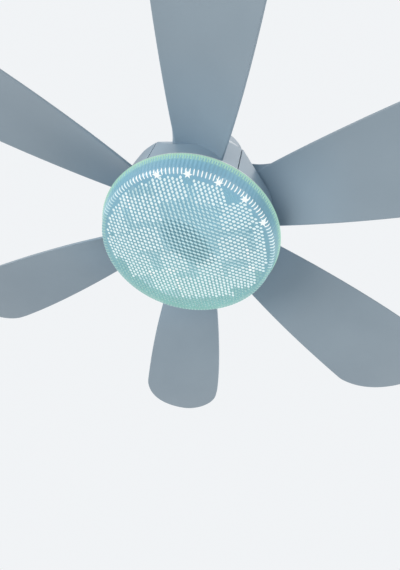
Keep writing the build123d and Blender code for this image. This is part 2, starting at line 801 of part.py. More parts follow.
board_screw_places = around(standoff_count, standoff_ring_r, z_board_top)
with BuildPart() as driver_board:
    ring(z_board, z_board_top, board_r, board_hole_r)
    with Locations(*board_screw_places):
        Cylinder(screw_hole_r, board_t, align=DOWN, mode=Mode.SUBTRACT)
save(driver_board.part, "driver_board")
screws("board_screws", board_screw_places, board_t + standoff_h - 3, up=False)

with BuildPart() as driver_capacitor:
    with Locations((*capacitor_at, z_board_top)):
        Cylinder(capacitor_r, capacitor_h, align=UP)
    chamfer(driver_capacitor.edges().filter_by(GeomType.CIRCLE).sort_by(Axis.Z)[-1], length=0.8)
save(driver_capacitor.part, "driver_capacitor")

with BuildPart() as driver_transformer:
    with Locations((*transformer_at, z_board_top)):
        Box(*transformer_size, align=UP)
    fillet(driver_transformer.edges().filter_by(Axis.X), radius=2)
save(driver_transformer.part, "driver_transformer")

with BuildPart() as driver_choke:
    with Locations((*choke_at, z_board_top)):
        Cylinder(choke_r, choke_h, align=UP)
        Cylinder(choke_r / 3, choke_h, align=UP, mode=Mode.SUBTRACT)
    fillet(driver_choke.edges().filter_by(GeomType.CIRCLE), radius=1.2)
save(driver_choke.part, "driver_choke")

with BuildPart() as driver_heatsink:
    with Locations((*heatsink_at, z_board_top)):
        Box(*heatsink_size, align=UP)
        with GridLocations(heatsink_size[0] / fin_count, 0, fin_count, 1):
            Box(fin_t, fin_depth, heatsink_size[2], align=(Align.CENTER, Align.MIN, Align.MIN))
save(driver_heatsink.part, "driver_heatsink")

with BuildPart() as driver_chips:
    for spot in chips_at:
        with Locations((*spot, z_board_top)):
            Box(*chip_size, align=UP)
save(driver_chips.part, "driver_chips")

with BuildPart() as board_plugs:
    for spot in plugs_at:
        with Locations((*spot, z_board_top)):
            Box(*plug_size, align=UP)
save(board_plugs.part, "board_plugs")

# Neck: a hollow plastic collar with the spigot that carries the screw shell
with BuildPart() as neck:
    turned(
        (neck_r - neck_wall, z_neck),
        (neck_r, z_neck),
        (neck_r, -neck_chamfer),
        (neck_r - neck_chamfer, 0),
        (rebate_r, 0),
        (rebate_r, -rebate_depth),
        (spigot_r, -rebate_depth),
        (spigot_r, spigot_h),
        (neck_bore, spigot_h),
        (neck_bore, -neck_top_t),
        (neck_r - neck_wall, -neck_top_t),
    )
    with Locations(*around(neck_screw_count, neck_screw_ring_r, z_neck)):
        Cylinder(neck_boss_r, neck_h - neck_top_t, align=UP)
        Cylinder(screw_hole_r, neck_screw_reach + 1, align=UP, mode=Mode.SUBTRACT)
    with Locations(Location((0, 0, mains_top), (0, 90, 0))):
        Cylinder(lead_r + screw_play, 2 * neck_bore, align=UP, mode=Mode.SUBTRACT)
save(neck.part, "neck")

# Screw base: the threaded shell, the insulator in its mouth and the contact through that
with BuildPart() as screw_shell:
    turned(
        (shell_bore, -rebate_depth),
        (skirt_r, -rebate_depth),
        (skirt_r, skirt_h),
        (thread_r, skirt_h + 0.3),
        (thread_r, thread_land_top),
        (shell_mouth_r + 2, shell_h),
        (shell_mouth_r, shell_h),
        (shell_mouth_r, shell_h - shell_t),
        (shell_mouth_r + 1.7, shell_h - shell_t),
        (shell_bore, thread_land_top),
    )
    groove_path_r = thread_r - thread_depth + groove_r
    with BuildLine() as thread_path:
        Helix(thread_pitch, thread_h, groove_path_r, center=(0, 0, thread_start))
    with BuildSketch(Plane(thread_path.line @ 0, z_dir=thread_path.line % 0)) as groove:
        Circle(groove_r)
    sweep(groove.sketch, path=thread_path.line, is_frenet=True, mode=Mode.SUBTRACT)
save(screw_shell.part, "screw_shell")

with BuildPart() as base_insulator:
    turned(
        (contact_stem_r, spigot_h),
        (neck_bore, spigot_h),
        (neck_bore, shell_h - shell_t - insulator_play),
        (shell_mouth_r - insulator_play, shell_h - shell_t - insulator_play),
        (shell_mouth_r - insulator_play, shell_h + 0.4),
        (contact_r + 0.8, z_contact),
        (contact_stem_r, z_contact),
    )
save(base_insulator.part, "base_insulator")

with BuildPart() as centre_contact:
    disc(spigot_h - 1, z_contact, contact_stem_r)
    disc(z_contact, z_contact + contact_h, contact_r)
    chamfer(centre_contact.edges().filter_by(GeomType.CIRCLE).sort_by(Axis.Z)[-1], length=0.8)
save(centre_contact.part, "centre_contact")

# Leads: mains down the neck, the motor's and the lamp's through the shaft's bore
z_plug_top = z_board_top + plug_size[2]
mains_plug, lamp_plug, motor_plug = plugs_at
with BuildPart() as mains_leads:
    lead(
        (0, 0, spigot_h - 1),
        (0, 0, z_neck - loop_h),
        (mains_plug[0], mains_plug[1] + 1.5, z_loop),
        (mains_plug[0], mains_plug[1] + 1.5, z_plug_top),
        radius=lead_r,
        bend=lead_bend,
    )
    lead(
        (shell_bore - slip, 0, mains_top),
        (mains_x, 0, mains_top),
        (mains_x, 0, z_neck - loop_h),
        (mains_plug[0], mains_plug[1] - 1.5, z_loop),
        (mains_plug[0], mains_plug[1] - 1.5, z_plug_top),
        radius=lead_r,
        bend=lead_bend,
    )
save(mains_leads.part, "mains_leads")

with BuildPart() as lamp_leads:
    for side in (-1, 1):
        y = side * lead_pair[1]
        lead(
            (led_plug_x + led_plug[0] / 2, y, z_rim + lead_floor),
            (-lead_pair[0], y, z_rim + lead_floor),
            (-lead_pair[0], y, z_loop),
            (lamp_plug[0], lamp_plug[1] + y, z_loop),
            (lamp_plug[0], lamp_plug[1] + y, z_plug_top),
            radius=lead_r,
            bend=(tight_bend, lead_bend, lead_bend),
        )
save(lamp_leads.part, "lamp_leads")

with BuildPart() as motor_cable:
    lead(
        (coil_r[0] - slip, 0, cross_hole_z),
        (motor_cable_x, 0, cross_hole_z),
        (motor_cable_x, 0, z_loop),
        (*motor_plug, z_loop),
        (*motor_plug, z_plug_top),
        radius=motor_cable_r,
        bend=(tight_bend, lead_bend, lead_bend),
    )
save(motor_cable.part, "motor_cable")
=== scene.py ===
import json
from math import atan2, cos, pi, radians, sin

import bmesh
import bpy
from mathutils import Matrix, Vector


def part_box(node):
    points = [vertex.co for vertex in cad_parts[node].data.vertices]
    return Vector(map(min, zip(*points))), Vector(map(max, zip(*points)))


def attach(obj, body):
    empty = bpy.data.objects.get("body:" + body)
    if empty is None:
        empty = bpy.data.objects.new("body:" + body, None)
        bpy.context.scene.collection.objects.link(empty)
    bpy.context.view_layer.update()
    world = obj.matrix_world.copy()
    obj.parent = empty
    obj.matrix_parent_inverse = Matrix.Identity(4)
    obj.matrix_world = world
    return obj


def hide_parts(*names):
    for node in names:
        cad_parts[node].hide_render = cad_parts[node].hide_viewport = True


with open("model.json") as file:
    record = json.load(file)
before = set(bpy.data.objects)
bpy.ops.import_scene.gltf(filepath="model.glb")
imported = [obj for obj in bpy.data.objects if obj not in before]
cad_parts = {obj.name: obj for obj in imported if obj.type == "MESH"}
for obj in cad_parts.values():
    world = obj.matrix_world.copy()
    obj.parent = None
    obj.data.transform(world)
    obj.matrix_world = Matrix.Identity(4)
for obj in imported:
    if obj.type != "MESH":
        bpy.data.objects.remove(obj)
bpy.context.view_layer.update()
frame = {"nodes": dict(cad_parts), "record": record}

scene = bpy.context.scene
scene.view_settings.view_transform = "Standard"
nodes = frame["nodes"]


# Camera, below the fan and looking up past its lamp. Here and in the studio, lengths are metres.
camera_place = (0.0466, -0.2071, -0.4206)
camera_forward = (-0.0948, 0.6879, 0.7196)
camera_up = (-0.1456, -0.7247, 0.6735)
camera_lens = 25.79  # millimetres, as is the sensor
camera_sensor = 36.0
camera_near = 0.01
camera_far = 50.0


def add_camera():
    data = bpy.data.cameras.new("camera")
    data.sensor_width = camera_sensor
    data.lens = camera_lens
    data.clip_start = camera_near
    data.clip_end = camera_far
    camera = bpy.data.objects.new("camera", data)
    forward = Vector(camera_forward).normalized()
    right = forward.cross(Vector(camera_up)).normalized()
    up = right.cross(forward)
    turn = Matrix((right, up, -forward)).transposed()
    camera.matrix_world = Matrix.Translation(camera_place) @ turn.to_4x4()
    scene.collection.objects.link(camera)
    scene.camera = camera


# Studio: a pale floor below the fan, a pale backdrop all round, and soft lamps
backdrop_color = (0.88, 0.90, 0.92)
ambient_color = (0.93, 0.96, 1.0)
ambient_strength = 0.55
floor_z = -2.4
floor_r = 9.0
floor_color = (0.82, 0.83, 0.84)
floor_glow = (0.30, 0.31, 0.32)  # seen, but lights nothing: it makes the floor look pale
floor_rough = 0.8
lamp_aim = (0, 0, -0.13)
lamps = {  # place, size, power, color
    "key": ((-1.1, -0.9, -0.85), 1.1, 14.0, (1.0, 0.98, 0.96)),
    "fill": ((1.2, 0.7, -0.55), 1.4, 9.0, (0.94, 0.97, 1.0)),
    "top": ((0.3, -0.5, 1.3), 1.4, 9.0, (1.0, 0.99, 0.98)),
}


def seen_ray(tree):
    """1 for what is seen, directly or through glass or a reflection, and 0 for what only lights."""
    path = tree.nodes.new("ShaderNodeLightPath")
    found = path.outputs["Is Camera Ray"]
    for other in ("Is Glossy Ray", "Is Transmission Ray"):
        either = tree.nodes.new("ShaderNodeMath")
        either.operation = "MAXIMUM"
        tree.links.new(found, either.inputs[0])
        tree.links.new(path.outputs[other], either.inputs[1])
        found = either.outputs[0]
    return found


def add_world():
    world = bpy.data.worlds.new("studio")
    world.use_nodes = True
    tree = world.node_tree
    tree.nodes.clear()
    out = tree.nodes.new("ShaderNodeOutputWorld")
    light = tree.nodes.new("ShaderNodeBackground")
    light.inputs["Color"].default_value = (*ambient_color, 1)
    light.inputs["Strength"].default_value = ambient_strength
    shown = tree.nodes.new("ShaderNodeBackground")
    shown.inputs["Color"].default_value = (*backdrop_color, 1)
    shown.inputs["Strength"].default_value = 1.0
    mix = tree.nodes.new("ShaderNodeMixShader")
    tree.links.new(seen_ray(tree), mix.inputs["Fac"])
    tree.links.new(light.outputs[0], mix.inputs[1])
    tree.links.new(shown.outputs[0], mix.inputs[2])
    tree.links.new(mix.outputs[0], out.inputs["Surface"])
    scene.world = world


def add_lamp(name, place, size, power, color):
    data = bpy.data.lights.new(name, "AREA")
    data.shape = "DISK"
    data.size = size
    data.energy = power
    data.color = color
    lamp = bpy.data.objects.new(name, data)
    lamp.location = place
    lamp.rotation_mode = "QUATERNION"
    lamp.rotation_quaternion = (Vector(lamp_aim) - Vector(place)).to_track_quat("-Z", "Y")
    scene.collection.objects.link(lamp)


def add_floor():
    mesh = bpy.data.meshes.new("floor")
    made = bmesh.new()
    bmesh.ops.create_circle(made, cap_ends=True, segments=96, radius=floor_r)
    made.to_mesh(mesh)
    made.free()
    floor = bpy.data.objects.new("floor", mesh)
    floor.location = (0, 0, floor_z)
    scene.collection.objects.link(floor)
    paint = bpy.data.materials.new("floor_paint")
    paint.use_nodes = True
    tree = paint.node_tree
    shader = tree.nodes["Principled BSDF"]
    shader.inputs["Base Color"].default_value = (*floor_color, 1)
    shader.inputs["Roughness"].default_value = floor_rough
    shader.inputs["Emission Color"].default_value = (*floor_glow, 1)
    tree.links.new(seen_ray(tree), shader.inputs["Emission Strength"])
    mesh.materials.append(paint)


add_camera()
add_world()
for lamp_name, lamp in lamps.items():
    add_lamp(lamp_name, *lamp)
add_floor()

# Materials. Each kind has its own short function on top of the helpers. Lengths are still metres here.
grain_scale = 900.0
grain_depth = 0.00004
metal_grain_scale = 400.0
metal_grain_depth = 0.00003
hub_light_inner_r = 0.06  # the blades' painted hub light and shade run from here
hub_light_outer_r = 0.28  # to here
lens_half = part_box("lens_cover")[1][0]  # the lens's tint, with its painted light, runs over this on each side of the axis


def new_material(name, rough, metallic=0.0):
    """A material with one Principled shader, and what the helpers below need to dress it."""
    made = bpy.data.materials.new(name)
    made.use_nodes = True
    shader = made.node_tree.nodes["Principled BSDF"]
    shader.inputs["Roughness"].default_value = rough
    shader.inputs["Metallic"].default_value = metallic
    return made, made.node_tree, shader


def noise(tree, scale, detail=3.0, stretch=(1, 1, 1)):
    """Noise over the piece's own coordinates, in metres."""
    where = tree.nodes.new("ShaderNodeTexCoord")
    spread = tree.nodes.new("ShaderNodeMapping")
    spread.inputs["Scale"].default_value = stretch
    grain = tree.nodes.new("ShaderNodeTexNoise")
    grain.inputs["Scale"].default_value = scale
    grain.inputs["Detail"].default_value = detail
    tree.links.new(where.outputs["Object"], spread.inputs["Vector"])
    tree.links.new(spread.outputs["Vector"], grain.inputs["Vector"])
    return grain.outputs["Fac"]


def ramp(tree, factor, *stops):
    """Colours along a factor, as (place, (r, g, b)) stops."""
    made = tree.nodes.new("ShaderNodeValToRGB")
    band = made.color_ramp
    while len(band.elements) < len(stops):
        band.elements.new(0.5)
    for element, (place, color) in zip(band.elements, stops):
        element.position = place
        element.color = (*color, 1)
    tree.links.new(factor, made.inputs["Fac"])
    return made.outputs["Color"]


def multiply(tree, first, second):
    """One colour times another."""
    made = tree.nodes.new("ShaderNodeMix")
    made.data_type = "RGBA"
    made.blend_type = "MULTIPLY"
    made.inputs["Factor"].default_value = 1.0
    tree.links.new(first, made.inputs["A"])
    tree.links.new(second, made.inputs["B"])
    return made.outputs["Result"]


def bump(tree, shader, height, strength, distance):
    made = tree.nodes.new("ShaderNodeBump")
    made.inputs["Strength"].default_value = strength
    made.inputs["Distance"].default_value = distance
    tree.links.new(height, made.inputs["Height"])
    tree.links.new(made.outputs["Normal"], shader.inputs["Normal"])


def spread_rough(tree, shader, factor, low, high):
    """Roughness that varies between low and high with a factor."""
    made = tree.nodes.new("ShaderNodeMapRange")
    made.inputs["To Min"].default_value = low
    made.inputs["To Max"].default_value = high
    tree.links.new(factor, made.inputs["Value"])
    tree.links.new(made.outputs["Result"], shader.inputs["Roughness"])


def plastic(name, dark, light, rough):
    """Moulded plastic: a faint mottle in its colour and gloss, and a fine grain."""
    made, tree, shader = new_material(name, rough)
    mottle = noise(tree, 18.0)
    color = ramp(tree, mottle, (0.3, dark), (0.7, light))
    tree.links.new(color, shader.inputs["Base Color"])
    spread_rough(tree, shader, mottle, rough - 0.04, rough + 0.06)
    bump(tree, shader, noise(tree, grain_scale, 2.0), 0.25, grain_depth)
    return made


def blade_paint(name):
    """The blades' satin plastic with dull and rubbed patches, and painted lamp light and shade that make it
    darker and bluer near the hub.
    """
    made, tree, shader = new_material(name, 0.38)
    where = tree.nodes.new("ShaderNodeTexCoord")
    level = tree.nodes.new("ShaderNodeMapping")
    level.inputs["Scale"].default_value = (1, 1, 0)
    reach = tree.nodes.new("ShaderNodeVectorMath")
    reach.operation = "LENGTH"
    share = tree.nodes.new("ShaderNodeMapRange")
    share.inputs["From Min"].default_value = hub_light_inner_r
    share.inputs["From Max"].default_value = hub_light_outer_r
    tree.links.new(where.outputs["Object"], level.inputs["Vector"])
    tree.links.new(level.outputs["Vector"], reach.inputs[0])
    tree.links.new(reach.outputs["Value"], share.inputs["Value"])
    # Painted light and shade: the blades are darker and bluer near the hub, then their own colour outwards.
    tint_with_painted_light = ramp(tree, share.outputs["Result"], (0.0, (0.25, 0.36, 0.45)), (0.10, (0.28, 0.38, 0.46)),
                (0.35, (0.31, 0.385, 0.44)), (1.0, (0.33, 0.395, 0.44)))
    mottle = noise(tree, 14.0, 5.0)
    cloud = ramp(tree, mottle, (0.3, (0.90, 0.91, 0.92)), (0.7, (1.0, 1.0, 1.0)))
    tree.links.new(multiply(tree, tint_with_painted_light, cloud), shader.inputs["Base Color"])
    spread_rough(tree, shader, mottle, 0.33, 0.45)
    bump(tree, shader, noise(tree, grain_scale, 2.0), 0.2, grain_depth)
    return made


def metal(name, dark, light, rough, stretch=(1, 1, 1)):
    """Metal with fine lines or grain, and darker patches."""
    made, tree, shader = new_material(name, rough, 1.0)
    patches = noise(tree, 60.0, 4.0)
    color = ramp(tree, patches, (0.3, dark), (0.7, light))
    tree.links.new(color, shader.inputs["Base Color"])
    fine = noise(tree, metal_grain_scale, 3.0, stretch)
    spread_rough(tree, shader, fine, rough - 0.08, rough + 0.1)
    bump(tree, shader, fine, 0.3, metal_grain_depth)
    return made


def clear_plastic(name, near, middle, far, alpha, glow=0.3):
    """Tinted clear plastic with the light of the lamp inside it. Its tint shifts along the piece's Y:
    painted light that makes one side bluer and the other greener.
    """
    made, tree, shader = new_material(name, 0.12)
    where = tree.nodes.new("ShaderNodeTexCoord")
    parts = tree.nodes.new("ShaderNodeSeparateXYZ")
    across = tree.nodes.new("ShaderNodeMapRange")
    across.inputs["From Min"].default_value = -lens_half
    across.inputs["From Max"].default_value = lens_half
    tree.links.new(where.outputs["Object"], parts.inputs["Vector"])
    tree.links.new(parts.outputs["Y"], across.inputs["Value"])
    # Painted light: the lens is bluer towards -Y and greener towards +Y.
    tint_with_painted_light = ramp(tree, across.outputs["Result"], (0.0, near), (0.5, middle), (1.0, far))
    mottle = noise(tree, 26.0)
    cloud = ramp(tree, mottle, (0.35, (0.86, 0.86, 0.86)), (0.65, (1.0, 1.0, 1.0)))
    tree.links.new(multiply(tree, tint_with_painted_light, cloud), shader.inputs["Base Color"])
    spread_rough(tree, shader, mottle, 0.07, 0.14)
    shader.inputs["Alpha"].default_value = alpha
    shader.inputs["Emission Color"].default_value = (*middle, 1)
    shader.inputs["Emission Strength"].default_value = glow
    made.surface_render_method = "BLENDED"
    return made


def lit(name, color, strength):
    """A lit face: its own light, over plastic with a faint mottle."""
    made, tree, shader = new_material(name, 0.2)
    mottle = noise(tree, 200.0)
    dark = tuple(0.16 * c for c in color)
    light = tuple(0.24 * c for c in color)
    tree.links.new(ramp(tree, mottle, (0.35, dark), (0.65, light)), shader.inputs["Base Color"])
    shader.inputs["Emission Color"].default_value = (*color, 1)
    shader.inputs["Emission Strength"].default_value = strength
    return made


materials = {
    "pan_metal": plastic("pan_enamel", (0.70, 0.72, 0.73), (0.78, 0.79, 0.80), 0.35),
    "board_white": plastic("board_solder_mask", (0.74, 0.77, 0.77), (0.82, 0.84, 0.83), 0.45),
    "zinc_steel": metal("zinc_steel", (0.50, 0.51, 0.54), (0.68, 0.69, 0.70), 0.34),
    "plug_plastic": plastic("plug_plastic", (0.75, 0.73, 0.66), (0.82, 0.80, 0.73), 0.45),
    "bearing_steel": metal("bearing_steel", (0.62, 0.63, 0.65), (0.75, 0.76, 0.78), 0.18),
    "cage_nylon": plastic("cage_nylon", (0.03, 0.04, 0.035), (0.05, 0.06, 0.05), 0.5),
    "core_steel": metal("core_steel", (0.22, 0.23, 0.25), (0.34, 0.35, 0.37), 0.42, (1, 1, 12)),
    "cap_plastic": plastic("cap_plastic", (0.72, 0.70, 0.60), (0.80, 0.78, 0.69), 0.5),
    "winding_copper": metal("winding_copper", (0.50, 0.17, 0.07), (0.72, 0.32, 0.15), 0.3, (1, 1, 6)),
    "cast_aluminium": metal("cast_aluminium", (0.52, 0.53, 0.55), (0.66, 0.67, 0.68), 0.45),
    "ferrite": plastic("ferrite", (0.02, 0.02, 0.025), (0.05, 0.05, 0.055), 0.6),
    "housing_plastic": plastic("housing_plastic", (0.30, 0.37, 0.43), (0.34, 0.41, 0.47), 0.36),
    "neck_plastic": plastic("neck_plastic", (0.27, 0.35, 0.42), (0.31, 0.39, 0.46), 0.42),
    "board_green": plastic("board_green", (0.015, 0.11, 0.05), (0.03, 0.16, 0.08), 0.35),
    "capacitor_sleeve": plastic("capacitor_sleeve", (0.015, 0.02, 0.04), (0.03, 0.035, 0.06), 0.3),
    "transformer_tape": plastic("transformer_tape", (0.62, 0.42, 0.06), (0.74, 0.53, 0.10), 0.3),
    "chip_black": plastic("chip_black", (0.01, 0.01, 0.012), (0.03, 0.03, 0.032), 0.5),
    "plated_brass": metal("plated_brass", (0.56, 0.55, 0.50), (0.74, 0.73, 0.68), 0.22),
    "insulator_dark": plastic("insulator_dark", (0.01, 0.01, 0.012), (0.025, 0.025, 0.03), 0.18),
    "lead_white": plastic("lead_white", (0.72, 0.72, 0.70), (0.78, 0.78, 0.77), 0.4),
    "lead_red": plastic("lead_red", (0.38, 0.02, 0.015), (0.48, 0.03, 0.02), 0.4),
    "lead_grey": plastic("lead_grey", (0.09, 0.10, 0.11), (0.12, 0.13, 0.14), 0.45),
    "blade_plastic": blade_paint("blade_plastic"),
}

materials["clear_diffuser"] = clear_plastic(
    "lens_body", (0.24, 0.48, 0.65), (0.25, 0.46, 0.53), (0.32, 0.64, 0.50), 0.68)
lens_prism = clear_plastic("lens_prism", (0.24, 0.48, 0.60), (0.27, 0.49, 0.54), (0.28, 0.55, 0.52), 0.6)
# Painted shade: the dark colour of the studs in the lens's unlit middle.
lens_shade = clear_plastic(
    "lens_shade", (0.10, 0.25, 0.32), (0.10, 0.25, 0.29), (0.12, 0.28, 0.29), 0.6, 0.2)
lit_bright = lit("lit_bright", (0.92, 0.97, 0.96), 0.82)
lit_medium = lit("lit_medium", (0.80, 0.94, 0.95), 0.78)
lit_soft = lit("lit_soft", (0.62, 0.84, 0.88), 0.70)
lit_dim = lit("lit_dim", (0.44, 0.70, 0.66), 0.62)
lit_rim = lit("lit_rim", (0.47, 0.82, 0.66), 0.60)
materials["led_phosphor"] = lit("lit_chip", (0.95, 0.92, 0.78), 0.80)

for entry in frame["record"]["subparts"]:
    node = nodes[entry["node"]]
    node.data.materials.clear()
    node.data.materials.append(materials[entry["material_slot"]])


# Meshes. Lengths below are millimetres; a piece's points become metres as it is made.
def piece(name, points, faces, material, slot, smooth=0.0):
    """A new mesh piece of the lamp. Its edges stay sharp where faces meet at more than the smooth angle."""
    mesh = bpy.data.meshes.new(name)
    mesh.from_pydata([(x / 1000, y / 1000, z / 1000) for x, y, z in points], [], faces)
    mesh.materials.append(material)
    if smooth:
        mesh.shade_smooth()
        mesh.set_sharp_from_angle(angle=radians(smooth))
    made = bpy.data.objects.new(name, mesh)
    scene.collection.objects.link(made)
    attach(made, "fixed_frame")
    return made


def turned(outline, steps, shape):
    """Points and faces of an outline of (radius, height) turned about the axis.

    An outline that starts and ends on the axis makes a solid body, and any other one makes a ring. The
    shape function gives each point's own radius and height, from its place on the outline and its angle.
    """
    capped = outline[0][0] == 0
    rows = outline[1:-1] if capped else outline
    points = []
    for k in range(steps):
        turn = 2 * pi * k / steps
        for place, (radius, z) in enumerate(rows):
            radius, z = shape(place, radius, z, turn)
            points.append((radius * cos(turn), radius * sin(turn), z))
    count = len(rows)
    faces = []
    for k in range(steps):
        here = k * count
        there = (k + 1) % steps * count
        for j in range(count - 1):
            faces.append((here + j, here + j + 1, there + j + 1, there + j))
        if capped:
            faces.append((steps * count, here, there))
            faces.append((steps * count + 1, there + count - 1, here + count - 1))
        else:
            faces.append((here + count - 1, here, there, there + count - 1))
    if capped:
        points.append((0, 0, outline[0][1]))
        points.append((0, 0, outline[-1][1]))
    return points, faces


def stud(points, faces, foot, top):
    """Adds one small closed solid between two loops of as many points."""
    start = len(points)
    count = len(foot)
    points.extend(foot)
    points.extend(top)
    faces.append(tuple(start + j for j in range(count)))
    faces.append(tuple(start + count + j for j in reversed(range(count))))
    for j in range(count):
        after = (j + 1) % count
        faces.append((start + j, start + count + j, start + count + after, start + after))


# Lens: a ribbed cup whose face is a grid of small rhombic prisms, lit from inside
lens_low, lens_high = [[1000 * c for c in corner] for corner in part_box("lens_cover")]
rim_r = lens_high[0]
z_rim = lens_high[2]
z_face = lens_low[2]
lens_depth = z_rim - z_face
lens_draft = 5.3  # how much further in the face's edge is than the rim
lens_wall = 2.0
lens_corner_r = 2.6
lens_inner_inset = 0.4  # how much thicker the wall is at its inner corner
lip_h = 1.3  # the plain lip at the rim
lip_top = 0.1  # what the lip stays short of the rim's height
lip_step = 0.05
lip_bevel = 0.2
rib_count = 150
rib_h = 0.42
rib_steps = 8
corner_steps = 5
wall_steps = 4
prism_h = 0.45
prism_side = 3.6
prism_turns = (radians(11.5), radians(75.0))  # the directions of the grid's two rows
prism_field_r = 65.0
prism_crowding = 1.6e-5  # the grid closes up towards the edge with the square of the radius
prism_foot = 0.88  # of a cell's width
prism_top = 0.42
grid_reach = 1.6  # how far the slanted grid is followed, in fields


def wall_r(z):
    """The lens's outer radius at a height."""
    return rim_r - lens_draft * (z_rim - z) / lens_depth


z_plate = z_face + prism_h
z_corner = z_plate + lens_corner_r
z_lip = z_rim - lip_h
corner_r = wall_r(z_corner) - lens_corner_r  # where the face ends and its rounded corner starts
lens_outline = [(0, z_plate), (wall_r(z_plate) - lens_corner_r, z_plate)]
for j in range(1, corner_steps + 1):
    bend = radians(90) * j / corner_steps
    lens_outline.append((corner_r + lens_corner_r * sin(bend), z_corner - lens_corner_r * cos(bend)))
rib_start = len(lens_outline) - 1
for j in range(1, wall_steps + 1):
    z = z_corner + (z_lip - z_corner) * j / wall_steps
    lens_outline.append((wall_r(z), z))
rib_end = len(lens_outline) - 2
lens_outline += [
    (wall_r(z_lip) + lip_step, z_lip),
    (rim_r - lip_bevel, z_rim - lip_top),
    (rim_r - lens_wall, z_rim - lip_top),
    (wall_r(z_plate + lens_wall) - lens_wall - lens_inner_inset, z_plate + lens_wall),
    (0, z_plate + lens_wall),
]


def rib_shape(place, radius, z, turn):
    """Fine upright ribs on the wall."""
    if rib_start <= place + 1 <= rib_end:
        radius -= rib_h * (0.5 - 0.5 * cos(rib_count * turn))
    return radius, z


lens_body = piece("lens_body", *turned(lens_outline, rib_steps * rib_count, rib_shape),
                  materials["clear_diffuser"], "clear_diffuser", smooth=60)
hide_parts("lens_cover")

prism_a = prism_side * Vector((cos(prism_turns[0]), sin(prism_turns[0])))
prism_b = prism_side * Vector((cos(prism_turns[1]), sin(prism_turns[1])))


def cell_places(limit):
    """Middles of the prisms' cells within a radius, and how much each cell is drawn together."""
    reach = int(grid_reach * limit / prism_side) + 1
    for i in range(-reach, reach + 1):
        for j in range(-reach, reach + 1):
            even = i * prism_a + j * prism_b
            closing = prism_crowding * even.length_squared
            spot = (1 - closing) * even
            if spot.length < limit:
                yield spot, 1 - 2 * closing


def rhomb(spot, share, z):
    """The corners of a cell, drawn in towards its middle."""
    half_a = prism_a * share / 2
    half_b = prism_b * share / 2
    left, right = spot - half_a, spot + half_a
    return [(c.x, c.y, z) for c in (left - half_b, right - half_b, right + half_b, left + half_b)]


# Each light shows in a square patch of lit prisms, and where patches overlap they are brighter. In the
# middle, which no light faces, dark studs paint the shade in the gaps between pale strokes.
light_outer_r = 61.5
light_outer_count = 16
light_inner_r = 38.0
light_inner_count = 8
light_turn = 20.0  # degrees
patch_corner = Vector((-5.4, -7.4))  # from a light to its patch's corner
patch_side = 23.0
patch_turn = radians(-15.0)
soft_fields = ((Vector((-2.0, -2.0)), 57.0), (Vector((-30.0, -36.0)), 28.0))  # middle, radius
dim_start = 4.0  # past this far along Y the prisms outside the patches still glow a little
shade_middle = Vector((-1.0, -9.0))
shade_size = Vector((28.0, 16.0))
shade_turn = radians(45.0)
weave_middle = Vector((33.0, -58.5))  # the strokes run round this point
weave_end = 24.0  # and past this far along Y they run the same way
row_turn = radians(67.0)
least_turn = radians(3.0)
dot_sides = 8
dot_top = 0.72  # of a dot's foot
z_sunk = z_plate + 0.05  # where the feet of the small pieces lie, within the plate
z_prism_top = z_face + 0.12
z_gap_top = z_face + 0.15
z_dot_foot = z_face + 0.2
gap_start = 0.05  # how deep in the shade the dark studs of painted shade start
gap_least = 0.35
gap_growth = 0.55
gap_full = 2 / 3  # how deep in the shade they are full-grown
gap_stretch = 1.9
gap_top = 0.9
patch_limit = 0.3  # the patches don't reach deeper into the shade than this
flicker = 0.12  # how much the dots vary in size
flicker_wave = Vector((2.7, 1.9))


def ring_places(radius, count):
    turns = [radians(light_turn + 360 / count * k) for k in range(count)]
    return [radius * Vector((cos(turn), sin(turn))) for turn in turns]


lights = ring_places(light_outer_r, light_outer_count) + ring_places(light_inner_r, light_inner_count)
patch_x = Vector((cos(patch_turn), sin(patch_turn)))
patch_y = Vector((sin(patch_turn), -cos(patch_turn)))


def patches_over(spot):
    """How many lights' patches cover a place on the face."""
    away = [spot - light - patch_corner for light in lights]
    return sum(0 < a.dot(patch_x) < patch_side and 0 < a.dot(patch_y) < patch_side for a in away)


def shade_over(spot):
    """How deep a place is in the shaded middle: 1 at its heart and 0 or less outside it."""
    away = spot - shade_middle
    along = away.x * cos(shade_turn) + away.y * sin(shade_turn)
    across = away.y * cos(shade_turn) - away.x * sin(shade_turn)
    return 1 - (along / shade_size.x) ** 2 - (across / shade_size.y) ** 2


def stroke_way(spot):
    """The way along which a lit stroke is drawn out."""
    away = spot - weave_middle
    turn = row_turn if spot.y > weave_end else max(atan2(-away.x, away.y), least_turn)
    return Vector((cos(turn), sin(turn)))


def dot_loop(spot, radius, z, stretch):
    """A round loop, stretched along its place's strokes."""
    long_way = stroke_way(spot)
    loop = []
    for k in range(dot_sides):
        turn = 2 * pi * k / dot_sides
        side = Vector((-long_way.y, long_way.x)) * sin(turn)
        corner = spot + radius * (stretch * cos(turn) * long_way + side)
        loop.append((corner.x, corner.y, z))
    return loop


